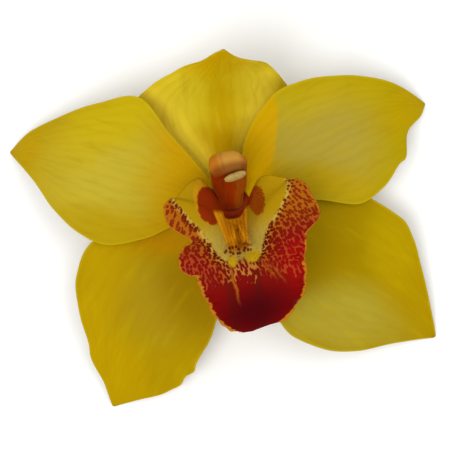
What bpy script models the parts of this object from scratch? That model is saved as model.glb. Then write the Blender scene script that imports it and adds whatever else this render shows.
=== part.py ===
# Cymbidium orchid bloom, picked with its own flower stalk and laid face up.
#
# The bloom is drawn in its own frame, in millimetres: the middle of the ovary's flat top is
# the origin, +Y runs up the face to the dorsal sepal, the lip hangs towards -Y and +Z points
# out of the face. An empty then turns it, lifts it on to its resting points and centres it.

import math

import bmesh
import bpy
from mathutils import Vector

MM = 0.001
FACE_NORMAL = Vector((0, 0, 1))
SHARP_EDGE_DEG = 50

# How the bloom lies: its turn in the plane of the face, how far the ovary's top stands above
# the surface, and where that top is from the middle of the whole bloom
TURN_DEG = 8.5
REST_DEPTH = 12.0
CENTRE_X = 2.1
CENTRE_Y = 8.2

# The ovary's flat top carries everything else, and seated pieces keep a gap to it
OVARY_TOP_RADIUS = 5.2
SEAT_GAP = 0.3

# Sepals sit round the rim of the ovary's top, and petals on it
SEPAL_RADIUS = OVARY_TOP_RADIUS + SEAT_GAP
SEPAL_LEVEL = -1.0
SEPAL_BASE = 3.8
PETAL_RADIUS = 4.7
PETAL_LEVEL = 1.35
PETAL_BASE = 3.2
TIP_HALF_WIDTH = 0.5

# Flesh of the sepals and petals: half its thickness, how much thinner the margin is, the
# groove in front of the midrib, the keel behind it and their half width
BLADE_HALF_FLESH = 0.5
MARGIN_THINNING = 0.38
MIDRIB_GROOVE = 0.2
MIDRIB_KEEL = 0.5
MIDRIB_WIDTH = 1.6
WAVE_LAG = 0.25
BLADE_ROWS = 20
BLADE_COLUMNS = 12
STEPS_A_ROW = 8

# Every curve below is a list of stops: share of the piece's length, then the value there.
# A blade's base has its radius, bearing and height on the ovary. Heading and pitch steer the
# midrib in and out of the face, roll turns the blade about it, cup bends the margins forward,
# left and right are the half widths, and the wave has a height, a count and a start.
BLADES = {
    "sepal_dorsal": {
        "base": (SEPAL_RADIUS, 92, SEPAL_LEVEL),
        "length": 50.2,
        "heading": ((0, 96), (0.35, 86), (0.65, 68), (1, 58)),
        "pitch": ((0, 4), (0.3, 22), (0.55, 54), (0.8, 75), (1, 81)),
        "roll": ((0, 0), (0.3, 0), (0.6, 10), (1, 18)),
        "cup": ((0, 4), (0.3, -8), (0.55, -18), (0.85, -14), (1, 0)),
        "left": ((0, SEPAL_BASE), (0.15, 9.4), (0.3, 17), (0.42, 20.4), (0.5, 16.7), (0.6, 10.6),
                 (0.7, 6.8), (0.83, 3.7), (1, TIP_HALF_WIDTH)),
        "right": ((0, SEPAL_BASE), (0.15, 9.6), (0.3, 17.2), (0.42, 19.8), (0.57, 17), (0.7, 12.8),
                  (0.77, 10.5), (0.86, 4.6), (1, TIP_HALF_WIDTH)),
        "wave": (0.5, 3, 0.6),
    },
    "sepal_left": {
        "base": (SEPAL_RADIUS, 222, SEPAL_LEVEL),
        "length": 58.2,
        "heading": ((0, 221), (0.5, 229), (0.75, 241), (1, 254)),
        "pitch": ((0, -3), (0.4, -5), (0.75, -17), (1, -27)),
        "roll": ((0, 0), (0.4, 4), (1, 0)),
        "cup": ((0, 6), (0.4, 10), (0.8, 4), (1, 10)),
        "left": ((0, SEPAL_BASE), (0.15, 9), (0.3, 14.6), (0.5, 17.6), (0.65, 17.5), (0.85, 13.4),
                 (0.95, 5.4), (1, TIP_HALF_WIDTH)),
        "right": ((0, SEPAL_BASE), (0.15, 11), (0.3, 19.4), (0.44, 22.5), (0.55, 20.7), (0.65, 15.8),
                  (0.75, 10.3), (0.8, 8.8), (0.9, 3.5), (1, TIP_HALF_WIDTH)),
        "wave": (0.6, 3, 0.2),
    },
    "sepal_right": {
        "base": (SEPAL_RADIUS, 318, SEPAL_LEVEL),
        "length": 60.0,
        "heading": ((0, 321), (0.5, 322), (0.75, 316), (1, 303)),
        "pitch": ((0, -3), (0.4, -5), (0.75, -17), (1, -23.2)),
        "roll": ((0, 0), (0.4, -4), (1, 0)),
        "cup": ((0, 6), (0.4, 10), (0.8, 4), (1, 10)),
        "left": ((0, SEPAL_BASE), (0.15, 12), (0.3, 17.8), (0.45, 19.6), (0.58, 19), (0.66, 16.2),
                 (0.75, 11.5), (0.9, 4.1), (1, TIP_HALF_WIDTH)),
        "right": ((0, SEPAL_BASE), (0.15, 10), (0.3, 18.8), (0.42, 21.7), (0.56, 20.6), (0.72, 16.3),
                  (0.88, 8.2), (1, TIP_HALF_WIDTH)),
        "wave": (0.6, 3, 0.2),
    },
    "petal_left": {
        "base": (PETAL_RADIUS, 160, PETAL_LEVEL),
        "length": 59.3,
        "heading": ((0, 156), (0.5, 158), (1, 162)),
        "pitch": ((0, 10), (0.35, 0), (0.7, -25), (1, -52.8)),
        "roll": ((0, -15), (0.4, -17), (0.7, -6), (1, 0)),
        "cup": ((0, 10), (0.4, 12), (0.8, 2), (1, 6)),
        "left": ((0, PETAL_BASE), (0.15, 10.2), (0.25, 14.8), (0.42, 18.9), (0.55, 17), (0.7, 12.3),
                 (0.8, 7), (0.87, 4.3), (1, TIP_HALF_WIDTH)),
        "right": ((0, PETAL_BASE), (0.15, 9.6), (0.25, 14), (0.41, 21.6), (0.55, 17.3), (0.7, 12.2),
                  (0.88, 6.2), (1, TIP_HALF_WIDTH)),
        "wave": (0.5, 3, 0.4),
    },
    "petal_right": {
        "base": (PETAL_RADIUS, 22, PETAL_LEVEL),
        "length": 57.5,
        "heading": ((0, 26), (0.5, 18), (1, 9.5)),
        "pitch": ((0, 10), (0.35, 0), (0.7, -25), (1, -57)),
        "roll": ((0, 16), (0.4, 18), (0.7, 6), (1, 0)),
        "cup": ((0, 10), (0.4, 12), (0.8, 2), (1, 6)),
        "left": ((0, PETAL_BASE), (0.15, 13.6), (0.25, 17.4), (0.35, 19.5), (0.44, 18.7), (0.57, 15.3),
                 (0.75, 10.3), (0.92, 3.8), (1, TIP_HALF_WIDTH)),
        "right": ((0, PETAL_BASE), (0.15, 8.3), (0.25, 10.9), (0.46, 18), (0.58, 16.3), (0.7, 12.6),
                  (0.76, 10.9), (0.81, 6.4), (0.87, 4.1), (0.93, 2.9), (1, TIP_HALF_WIDTH)),
        "wave": (0.5, 3, 0.4),
    },
}

# The lip: a trough that runs out under the column, then a lobe that turns down from its
# mouth. The middle line leans away from the face's normal by the turn and drifts aside by
# the swing. The section is a floor, a wall and a flare, and the lean opens the right wall.
LIP_BASE = (0, -4.2, 0.85)
LIP_LENGTH = 40.9
LIP_YAW_DEG = 3
LIP_TURN = ((0, 46), (0.15, 26), (0.35, 22), (0.45, 32), (0.55, 58), (0.7, 84), (0.85, 106), (1, 132))
LIP_SWING = ((0, 0), (0.46, 0), (0.56, 12), (0.68, 6), (0.85, -16), (1, -34))
LIP_LEFT = ((0, 4.5), (0.03, 10.5), (0.07, 15.5), (0.13, 18.4), (0.25, 21.2), (0.345, 22.8),
            (0.385, 21), (0.417, 13.8), (0.46, 15.6), (0.53, 16.6), (0.56, 15.6), (0.59, 13),
            (0.65, 13.5), (0.74, 12.6), (0.86, 10), (0.95, 5.6), (1, 1.6))
LIP_RIGHT = ((0, 4.5), (0.03, 10), (0.08, 14), (0.16, 17.4), (0.26, 21.6), (0.36, 23.4), (0.43, 22.4),
             (0.48, 17), (0.52, 16.2), (0.57, 14.6), (0.64, 14.1), (0.76, 12.9), (0.87, 10.6),
             (0.95, 7.4), (1, 2.4))
LIP_FLOOR = ((0, 3.9), (0.3, 5), (0.5, 8), (1, 9))
LIP_WALL = ((0, 70), (0.12, 80), (0.3, 68), (0.42, 40), (0.52, 18), (0.65, 6), (1, 4))
LIP_FLARE = ((0, 70), (0.15, 62), (0.27, 26), (0.42, 4), (0.52, -10), (0.65, -24), (0.85, -34), (1, -20))
LIP_LEAN = ((0, 0), (0.2, 4), (0.45, 2), (0.6, 0))
LIP_RUFFLE = ((0, 0), (0.2, 0.3), (0.36, 1), (0.6, 0.9), (0.85, 1.2), (1, 0.5))
LIP_RUFFLES = 6.5
LIP_RUFFLE_SHIFT = 1.3
LIP_HALF_FLESH = 0.45
LIP_MARGIN_THINNING = 0.3
LIP_ROWS = 36
LIP_COLUMNS = 26
LIP_CROWDING = 1.35
SECTION_STEPS = 24

# The two keels of the callus on the lip's floor, from its throat to the foot of the lobe
CALLUS_START = 0.06
CALLUS_END = 0.5
CALLUS_SPACING = 2.1
CALLUS_WIDTH = 1.15
CALLUS_HEIGHT = 1.7
CALLUS_RISE = 0.25
CALLUS_FALL = 0.2

# The column: its middle line leans from the face's normal and nods at the tip, and the yaw
# turns it aside. Across it are the half width, the rounded back, the wings beside the belly
# and the hollow between them.
COLUMN_BASE = (0, 0.2, SEAT_GAP)
COLUMN_LENGTH = 27.5
COLUMN_YAW = ((0, 4), (0.6, 3), (1, -8))
COLUMN_LEAN = ((0, 41), (0.5, 26), (0.8, -3), (1, -64))
COLUMN_HALF_WIDTH = ((0, 3.1), (0.1, 3.3), (0.25, 4.3), (0.4, 4.6), (0.84, 4.8), (0.95, 4.6), (1, 4))
COLUMN_BACK = ((0, 2.4), (0.5, 2.6), (0.8, 2.7), (0.93, 2.5), (1, 2))
COLUMN_WINGS = ((0, 2.2), (0.4, 2), (0.75, 2.6), (1, 2))
COLUMN_HOLLOW = ((0, 0), (0.3, 1.4), (0.7, 2.2), (0.86, 2), (0.96, 0.3), (1, 0))
COLUMN_RINGS = 22
COLUMN_SIDES = 24
COLUMN_CROWDING = 1.35
HOLLOW_SHARPNESS = 3
WING_BLUNTNESS = 0.7

# The anther cap: a two-lobed bean across the column's tip, on its belly's side
CAP_HALF_LENGTH = 2.8
CAP_HALF_DEPTH = 1.4
CAP_HALF_THICKNESS = 0.95
CAP_SIDE = 0.85
CAP_TOWARDS_BELLY = 0.4
CAP_TILT_DEG = 8
CAP_GROOVE = 0.16
CAP_GROOVE_WIDTH = 0.22
CAP_BLUNTNESS = 0.8
CAP_END = 0.985
CAP_RINGS = 14
CAP_SIDES = 12

# The flower stalk: the ribbed ovary bends under the bloom, and the pedicel lies along the
# surface. The neck's stops are depth below the ovary's top, then the radius.
STALK_RADIUS = ((0, 2.9), (0.15, 2.8), (0.4, 2.6), (0.7, 2.1), (1, 1.9))
STALK_NECK = ((0, OVARY_TOP_RADIUS), (0.9, 5.1), (1.7, 4.6), (2.6, 3.7), (3.4, 3.0))
NECK_RIBS_FROM = 4
STALK_BEND_END = 0.33
STALK_RUN = 19
STALK_BEND_RINGS = 12
STALK_RUN_RINGS = 8
STALK_SIDES = 24
OVARY_RIBS = 6
RIB_HEIGHT = 0.28

YELLOW = (0.62, 0.44, 0.02, 1)
LIP_RED = (0.32, 0.02, 0.01, 1)
COLUMN_RUST = (0.42, 0.12, 0.02, 1)
CAP_CREAM = (0.72, 0.60, 0.36, 1)
STALK_GREEN = (0.42, 0.46, 0.10, 1)


def clear_scene():
    for old in list(bpy.data.objects):
        bpy.data.objects.remove(old)


def flesh(name, colour, roughness):
    made = bpy.data.materials.new(name)
    made.use_nodes = True
    shader = made.node_tree.nodes["Principled BSDF"]
    shader.inputs["Base Color"].default_value = colour
    shader.inputs["Roughness"].default_value = roughness
    shader.inputs["Metallic"].default_value = 0.0
    return made


def through(stops, share):
    """The value at share on a smooth curve through the stops, which never overshoots them."""
    if share <= stops[0][0]:
        return stops[0][1]
    if share >= stops[-1][0]:
        return stops[-1][1]
    slopes = [(b[1] - a[1]) / (b[0] - a[0]) for a, b in zip(stops, stops[1:])]
    k = max(i for i, stop in enumerate(stops) if stop[0] <= share)

    def tangent(i):
        if i in (0, len(stops) - 1):
            return slopes[min(i, len(slopes) - 1)]
        before, after = slopes[i - 1], slopes[i]
        return 2 * before * after / (before + after) if before * after > 0 else 0.0

    (x0, y0), (x1, y1) = stops[k], stops[k + 1]
    span = x1 - x0
    t = (share - x0) / span
    value = (1 + 2 * t) * (1 - t) ** 2 * y0 + t * t * (3 - 2 * t) * y1
    return value + span * t * (1 - t) * ((1 - t) * tangent(k) - t * tangent(k + 1))


def ease(t):
    t = min(max(t, 0.0), 1.0)
    return t * t * (3 - 2 * t)


def hump(x, width):
    return math.exp(-((x / width) ** 2))


def bearing(heading, pitch):
    """The unit vector that heads round the face and is pitched out of it, in degrees."""
    h, p = math.radians(heading), math.radians(pitch)
    return Vector((math.cos(p) * math.cos(h), math.cos(p) * math.sin(h), math.sin(p)))


def grid_normals(grid):
    rows, columns = len(grid) - 1, len(grid[0]) - 1
    normals = []
    for i in range(rows + 1):
        line = []
        for j in range(columns + 1):
            along = grid[min(i + 1, rows)][j] - grid[max(i - 1, 0)][j]
            across = grid[i][min(j + 1, columns)] - grid[i][max(j - 1, 0)]
            line.append(along.cross(across).normalized())
        normals.append(line)
    return normals


def new_object(name, bm, material, parent):
    mesh = bpy.data.meshes.new(name)
    bm.to_mesh(mesh)
    bm.free()
    made = bpy.data.objects.new(name, mesh)
    mesh.materials.append(material)
    mesh.shade_smooth()
    mesh.set_sharp_from_angle(angle=math.radians(SHARP_EDGE_DEG))
    made.parent = parent
    bpy.context.scene.collection.objects.link(made)
    return made


def make_sheet(name, grid, flesh_at, material, parent):
    """A closed blade round a grid of middle points, both faces split into triangles alike."""
    rows, columns = len(grid) - 1, len(grid[0]) - 1
    normals = grid_normals(grid)
    bm = bmesh.new()
    front, back = [], []
    for i in range(rows + 1):
        front.append([])
        back.append([])
        for j in range(columns + 1):
            ahead, behind = flesh_at(i / rows, j)
            front[i].append(bm.verts.new((grid[i][j] + normals[i][j] * ahead) * MM))
            back[i].append(bm.verts.new((grid[i][j] - normals[i][j] * behind) * MM))
    for i in range(rows):
        for j in range(columns):
            for face, turned in ((front, False), (back, True)):
                a, b = face[i][j], face[i + 1][j]
                c, d = face[i + 1][j + 1], face[i][j + 1]
                for corners in ((a, b, c), (a, c, d)):
                    bm.faces.new(corners[::-1] if turned else corners)
    rim = [(0, j) for j in range(columns)] + [(i, columns) for i in range(rows)]
    rim += [(rows, j) for j in range(columns, 0, -1)] + [(i, 0) for i in range(rows, 0, -1)]
    for (i, j), (k, m) in zip(rim, rim[1:] + rim[:1]):
        bm.faces.new((front[i][j], front[k][m], back[k][m]))
        bm.faces.new((front[i][j], back[k][m], back[i][j]))
    return new_object(name, bm, material, parent)


def make_loft(name, rings, material, parent):
    """A closed solid through rings of points, each end filled with a fan round its middle."""
    bm = bmesh.new()
    loops = [[bm.verts.new(point * MM) for point in ring] for ring in rings]
    count = len(rings[0])
    for lower, upper in zip(loops, loops[1:]):
        for i in range(count):
            k = (i + 1) % count
            bm.faces.new((lower[i], lower[k], upper[k], upper[i]))
    for loop, ring, turned in ((loops[0], rings[0], True), (loops[-1], rings[-1], False)):
        middle = bm.verts.new(sum(ring, Vector()) / count * MM)
        for i in range(count):
            corners = (loop[i], loop[(i + 1) % count], middle)
            bm.faces.new(corners[::-1] if turned else corners)
    return new_object(name, bm, material, parent)


def midrib(blade):
    """For each row of a blade: its share of the length, its midrib point, side and normal."""
    radius, angle, level = blade["base"]
    point = bearing(angle, 0) * radius + Vector((0, 0, level))
    step = blade["length"] / (BLADE_ROWS * STEPS_A_ROW)
    rows = []
    for row in range(BLADE_ROWS + 1):
        share = row / BLADE_ROWS
        along = bearing(through(blade["heading"], share), through(blade["pitch"], share))
        level_side = FACE_NORMAL.cross(along).normalized()
        roll = math.radians(through(blade["roll"], share))
        side = math.cos(roll) * level_side + math.sin(roll) * along.cross(level_side)
        rows.append((share, point.copy(), side, along.cross(side)))
        for part in range(STEPS_A_ROW):
            here = share + (part + 0.5) / (BLADE_ROWS * STEPS_A_ROW)
            point += step * bearing(through(blade["heading"], here), through(blade["pitch"], here))
    return rows


def arc_across(reach, width, cup):
    """Sideways and forward travel after reach along a section that has bent by cup at width."""
    if abs(cup) < 1e-4:
        return reach, 0.0
    bend = cup * reach / width
    return width / cup * math.sin(bend), width / cup * (1 - math.cos(bend))


def blade_side(column):
    """Where a column of a blade's grid lies, from -1 at the right margin to 1 at the left."""
    return 2 * column / BLADE_COLUMNS - 1


def blade_grid(blade):
    height, waves, start = blade["wave"]
    grid = []
    for share, point, side, normal in midrib(blade):
        cup = math.radians(through(blade["cup"], share))
        line = []
        for column in range(BLADE_COLUMNS + 1):
            v = blade_side(column)
            width = through(blade["left"] if v > 0 else blade["right"], share)
            across, forward = arc_across(abs(v) * width, width, cup)
            phase = 2 * math.pi * (waves * share + start + (WAVE_LAG if v > 0 else 0))
            forward += height * abs(v) ** 3 * math.sin(math.pi * share) * math.sin(phase)
            line.append(point + side * math.copysign(across, v) + normal * forward)
        grid.append(line)
    return grid


def make_blade(name, blade, material, parent):
    def flesh_at(share, column):
        v = blade_side(column)
        width = through(blade["left"] if v > 0 else blade["right"], share)
        plain = BLADE_HALF_FLESH * (1 - MARGIN_THINNING * abs(v) ** 3)
        rib = hump(v * width, MIDRIB_WIDTH) * (1 - share)
        return plain - MIDRIB_GROOVE * rib, plain + MIDRIB_KEEL * rib

    return make_sheet(name, blade_grid(blade), flesh_at, material, parent)


def lip_side(column):
    """Where a column of the lip's grid lies, from -1 to 1, crowded towards the callus."""
    t = 2 * column / LIP_COLUMNS - 1
    return math.copysign(abs(t) ** LIP_CROWDING, t)


def lip_section(share, v):
    """Sideways and upward travel out to v along the lip's section at share of its length."""
    width = through(LIP_LEFT if v < 0 else LIP_RIGHT, share)
    floor = through(LIP_FLOOR, share)
    wall = through(LIP_WALL, share) - math.copysign(through(LIP_LEAN, share), v)
    flare = through(LIP_FLARE, share)
    across = rise = 0.0
    step = abs(v) * width / SECTION_STEPS
    for k in range(SECTION_STEPS):
        reach = step * (k + 0.5)
        slope = wall * ease(reach / floor) + (flare - wall) * ease((reach - floor) / max(width - floor, 1))
        across += math.cos(math.radians(slope)) * step
        rise += math.sin(math.radians(slope)) * step
    phase = 2 * math.pi * LIP_RUFFLES * share + (LIP_RUFFLE_SHIFT if v > 0 else 0)
    rise += through(LIP_RUFFLE, share) * abs(v) ** 4 * math.sin(phase)
    return math.copysign(across, v), rise


def lip_grid():
    """Rows of points over the lip's middle, from its claw to the tip of its lobe."""
    yaw = math.radians(LIP_YAW_DEG)
    sideways = Vector((math.cos(yaw), 0, -math.sin(yaw)))
    forward = Vector((math.sin(yaw), 0, math.cos(yaw)))
    point = Vector(LIP_BASE)
    step = LIP_LENGTH / (LIP_ROWS * STEPS_A_ROW)
    grid = []
    for row in range(LIP_ROWS + 1):
        share = row / LIP_ROWS
        turn = math.radians(through(LIP_TURN, share))
        up = Vector((0, math.cos(turn), 0)) + forward * math.sin(turn)
        line = []
        for column in range(LIP_COLUMNS + 1):
            across, rise = lip_section(share, lip_side(column))
            line.append(point + sideways * across + up * rise)
        grid.append(line)
        for part in range(STEPS_A_ROW):
            here = share + (part + 0.5) / (LIP_ROWS * STEPS_A_ROW)
            turn, swing = math.radians(through(LIP_TURN, here)), math.radians(through(LIP_SWING, here))
            ahead = Vector((0, -math.sin(turn), 0)) + forward * math.cos(turn)
            point = point + step * (ahead * math.cos(swing) + sideways * math.sin(swing))
    return grid


def make_lip(material, parent):
    def flesh_at(share, column):
        v = lip_side(column)
        reach = abs(v) * through(LIP_LEFT if v < 0 else LIP_RIGHT, share)
        run = (share - CALLUS_START) / (CALLUS_END - CALLUS_START)
        keel = ease(run / CALLUS_RISE) * ease((1 - run) / CALLUS_FALL)
        keel *= hump(reach - CALLUS_SPACING, CALLUS_WIDTH)
        plain = LIP_HALF_FLESH * (1 - LIP_MARGIN_THINNING * abs(v) ** 3)
        return plain + CALLUS_HEIGHT * keel, plain

    return make_sheet("lip", lip_grid(), flesh_at, material, parent)


def column_frames():
    """Shares, points, directions and back directions of the column's rings, base to tip."""
    point = Vector(COLUMN_BASE)
    shares = [1 - (1 - ring / COLUMN_RINGS) ** COLUMN_CROWDING for ring in range(COLUMN_RINGS + 1)]
    frames = []
    for share, following in zip(shares, shares[1:] + [1.0]):
        uphill = bearing(90 - through(COLUMN_YAW, share), 0)
        lean = math.radians(through(COLUMN_LEAN, share) if share > 0 else 0)
        ahead = uphill * math.sin(lean) + FACE_NORMAL * math.cos(lean)
        back = uphill * math.cos(lean) - FACE_NORMAL * math.sin(lean)
        frames.append((share, point.copy(), ahead, back))
        middle = math.radians(through(COLUMN_LEAN, (share + following) / 2))
        step = uphill * math.sin(middle) + FACE_NORMAL * math.cos(middle)
        point += step * COLUMN_LENGTH * (following - share)
    return frames


def make_column(material, parent):
    rings = []
    for share, point, ahead, back in column_frames():
        ring = []
        for i in range(COLUMN_SIDES):
            angle = 2 * math.pi * i / COLUMN_SIDES
            u, lift = math.cos(angle), math.sin(angle)
            if lift >= 0:
                depth = through(COLUMN_BACK, share) * lift
            else:
                depth = through(COLUMN_HOLLOW, share) * abs(lift) ** HOLLOW_SHARPNESS
                depth -= through(COLUMN_WINGS, share) * abs(lift) ** WING_BLUNTNESS
            half = through(COLUMN_HALF_WIDTH, share)
            ring.append(point + back.cross(ahead) * half * u + back * depth)
        rings.append(ring)
    return make_loft("column", rings, material, parent)


def make_anther_cap(material, parent):
    share, tip, ahead, back = column_frames()[-1]
    tilt = math.radians(CAP_TILT_DEG)
    aside = back.cross(ahead)
    axis = aside * math.cos(tilt) + back * math.sin(tilt)
    depth_way = ahead.cross(axis)
    middle = tip + aside * CAP_SIDE - back * CAP_TOWARDS_BELLY
    middle += ahead * (SEAT_GAP + CAP_HALF_THICKNESS)
    rings = []
    for k in range(CAP_RINGS + 1):
        along = math.cos(math.pi * (1 - k / CAP_RINGS)) * CAP_END
        size = math.sqrt(1 - along * along) ** CAP_BLUNTNESS
        size *= 1 - CAP_GROOVE * hump(along, CAP_GROOVE_WIDTH)
        ring = []
        for i in range(CAP_SIDES):
            angle = 2 * math.pi * i / CAP_SIDES
            spoke = depth_way * CAP_HALF_DEPTH * math.cos(angle)
            spoke += ahead * CAP_HALF_THICKNESS * math.sin(angle)
            ring.append(middle + axis * CAP_HALF_LENGTH * along - spoke * size)
        rings.append(ring)
    return make_loft("anther_cap", rings, material, parent)


def stalk_stations():
    """Middle point, turn from the vertical, radius and rib share of each of the stalk's rings."""
    stations = [(Vector((0, 0, -depth)), 0, radius, ease(depth / NECK_RIBS_FROM))
                for depth, radius in STALK_NECK[:-1]]
    neck_depth = STALK_NECK[-1][0]
    bend_radius = REST_DEPTH - neck_depth - through(STALK_RADIUS, STALK_BEND_END)
    bend_length = bend_radius * math.pi / 2
    whole = bend_length + STALK_RUN
    for k in range(STALK_BEND_RINGS + 1):
        turn = math.pi / 2 * k / STALK_BEND_RINGS
        share = bend_length * k / STALK_BEND_RINGS / whole
        point = Vector((0, -bend_radius * (1 - math.cos(turn)), -neck_depth - bend_radius * math.sin(turn)))
        stations.append((point, turn, through(STALK_RADIUS, share), 1 - ease(share)))
    for k in range(1, STALK_RUN_RINGS + 1):
        share = (bend_length + STALK_RUN * k / STALK_RUN_RINGS) / whole
        radius = through(STALK_RADIUS, share)
        point = Vector((0, -bend_radius - STALK_RUN * k / STALK_RUN_RINGS, radius - REST_DEPTH))
        stations.append((point, math.pi / 2, radius, 1 - ease(share)))
    return stations


def make_stalk(material, parent):
    rings = []
    for point, turn, radius, ribbed in stalk_stations():
        out = Vector((0, math.cos(turn), -math.sin(turn)))
        ring = []
        for i in range(STALK_SIDES):
            angle = 2 * math.pi * i / STALK_SIDES
            rib = RIB_HEIGHT * ribbed * (1 + math.cos(OVARY_RIBS * angle)) / 2
            spoke = Vector((-math.cos(angle), 0, 0)) + out * math.sin(angle)
            ring.append(point + spoke * (radius - rib))
        rings.append(ring)
    return make_loft("flower_stalk", rings, material, parent)


def main():
    clear_scene()
    bloom = bpy.data.objects.new("bloom", None)
    bpy.context.scene.collection.objects.link(bloom)
    bloom.location = Vector((CENTRE_X, CENTRE_Y, REST_DEPTH)) * MM
    bloom.rotation_euler = (0, 0, math.radians(TURN_DEG))
    for name, blade in BLADES.items():
        make_blade(name, blade, flesh(name, YELLOW, 0.45), bloom)
    make_lip(flesh("lip", LIP_RED, 0.5), bloom)
    make_column(flesh("column", COLUMN_RUST, 0.4), bloom)
    make_anther_cap(flesh("anther_cap", CAP_CREAM, 0.4), bloom)
    make_stalk(flesh("flower_stalk", STALK_GREEN, 0.5), bloom)


main()
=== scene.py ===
from math import copysign, cos, exp, pi, radians, sin, sqrt
from types import SimpleNamespace

import bpy
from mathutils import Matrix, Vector, noise


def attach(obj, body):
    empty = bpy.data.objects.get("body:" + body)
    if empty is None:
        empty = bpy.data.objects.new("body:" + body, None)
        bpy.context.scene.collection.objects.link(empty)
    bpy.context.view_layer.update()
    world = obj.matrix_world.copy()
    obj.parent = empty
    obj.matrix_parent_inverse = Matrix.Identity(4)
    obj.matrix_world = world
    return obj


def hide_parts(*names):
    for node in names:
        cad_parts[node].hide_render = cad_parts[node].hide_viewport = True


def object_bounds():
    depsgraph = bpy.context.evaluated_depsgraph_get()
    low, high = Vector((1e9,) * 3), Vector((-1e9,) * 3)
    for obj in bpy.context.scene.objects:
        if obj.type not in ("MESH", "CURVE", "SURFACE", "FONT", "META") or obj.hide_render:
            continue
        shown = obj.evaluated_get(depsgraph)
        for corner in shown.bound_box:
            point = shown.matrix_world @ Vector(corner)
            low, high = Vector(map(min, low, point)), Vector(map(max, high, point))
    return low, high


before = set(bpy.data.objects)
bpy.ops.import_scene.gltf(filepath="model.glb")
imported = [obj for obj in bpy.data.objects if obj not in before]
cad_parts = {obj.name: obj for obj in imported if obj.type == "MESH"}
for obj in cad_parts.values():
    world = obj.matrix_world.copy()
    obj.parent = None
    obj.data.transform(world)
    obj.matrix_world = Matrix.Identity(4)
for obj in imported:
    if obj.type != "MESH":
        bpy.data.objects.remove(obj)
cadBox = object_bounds()
print("frame loaded:", len(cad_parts), "nodes")

millimetre = 0.001
faceNormal = Vector((0, 0, 1))

# The bloom is drawn in its own frame, in millimetres: the middle of the ovary's top is the
# origin, +Y runs up the face and +Z out of it. This is where it lies in the frame.
lie = {"turnDeg": 8.5, "centre": (2.1, 8.2, 12.0)}


def toFrame(point):
    turn = radians(lie["turnDeg"])
    x = point.x * cos(turn) - point.y * sin(turn)
    y = point.x * sin(turn) + point.y * cos(turn)
    return (Vector((x, y, point.z)) + Vector(lie["centre"])) * millimetre


# Curves: lists of stops, each a share of the length and the value there

def readStops(stops, share):
    if share <= stops[0][0]:
        return stops[0][1]
    if share >= stops[-1][0]:
        return stops[-1][1]
    slopes = [(b[1] - a[1]) / (b[0] - a[0]) for a, b in zip(stops, stops[1:])]
    k = max(i for i, stop in enumerate(stops) if stop[0] <= share)

    def tangent(i):
        if i in (0, len(stops) - 1):
            return slopes[min(i, len(slopes) - 1)]
        before, after = slopes[i - 1], slopes[i]
        return 2 * before * after / (before + after) if before * after > 0 else 0.0

    (x0, y0), (x1, y1) = stops[k], stops[k + 1]
    span = x1 - x0
    t = (share - x0) / span
    value = (1 + 2 * t) * (1 - t) ** 2 * y0 + t * t * (3 - 2 * t) * y1
    return value + span * t * (1 - t) * ((1 - t) * tangent(k) - t * tangent(k + 1))


def ease(t):
    t = min(max(t, 0.0), 1.0)
    return t * t * (3 - 2 * t)


def hump(x, width):
    return exp(-((x / width) ** 2))


def bearing(heading, pitch):
    h, p = radians(heading), radians(pitch)
    return Vector((cos(p) * cos(h), cos(p) * sin(h), sin(p)))


# Meshes

marginPower = 8


def newObject(name, data):
    made = bpy.data.objects.new(name, data)
    bpy.context.scene.collection.objects.link(made)
    return made


def sheetNormals(grid):
    rows, columns = len(grid) - 1, len(grid[0]) - 1
    normals = []
    for i in range(rows + 1):
        line = []
        for j in range(columns + 1):
            ahead = grid[min(i + 1, rows)][j] - grid[max(i - 1, 0)][j]
            across = grid[i][min(j + 1, columns)] - grid[i][max(j - 1, 0)]
            line.append(ahead.cross(across).normalized())
        normals.append(line)
    return normals


def loftMesh(name, rings, marks, finish):
    # a closed skin through the rings; marks holds one vector per ring point and attribute, and
    # the points themselves, in the bloom, are the attribute face
    marks = {**marks, "face": rings}
    count = len(rings[0])
    points = [point for ring in rings for point in ring]
    values = {key: [value for ring in held for value in ring] for key, held in marks.items()}
    faces = []
    for r in range(len(rings) - 1):
        low, high = r * count, (r + 1) * count
        for k in range(count):
            n = (k + 1) % count
            faces.append((low + k, high + k, high + n, low + n))
    for start, ring, last in ((0, 0, False), ((len(rings) - 1) * count, -1, True)):
        middle = len(points)
        points.append(sum(rings[ring], Vector()) / count)
        for key, held in marks.items():
            values[key].append(sum((Vector(value) for value in held[ring]), Vector()) / count)
        for k in range(count):
            edge = (start + k, start + (k + 1) % count)
            faces.append((*(edge[::-1] if last else edge), middle))
    mesh = bpy.data.meshes.new(name)
    mesh.from_pydata([toFrame(point) for point in points], [], faces)
    for key, held in values.items():
        attribute = mesh.attributes.new(key, "FLOAT_VECTOR", "POINT")
        attribute.data.foreach_set("vector", [part for value in held for part in value])
    mesh.materials.append(finish)
    mesh.shade_smooth()
    return newObject(name, mesh)


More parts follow.
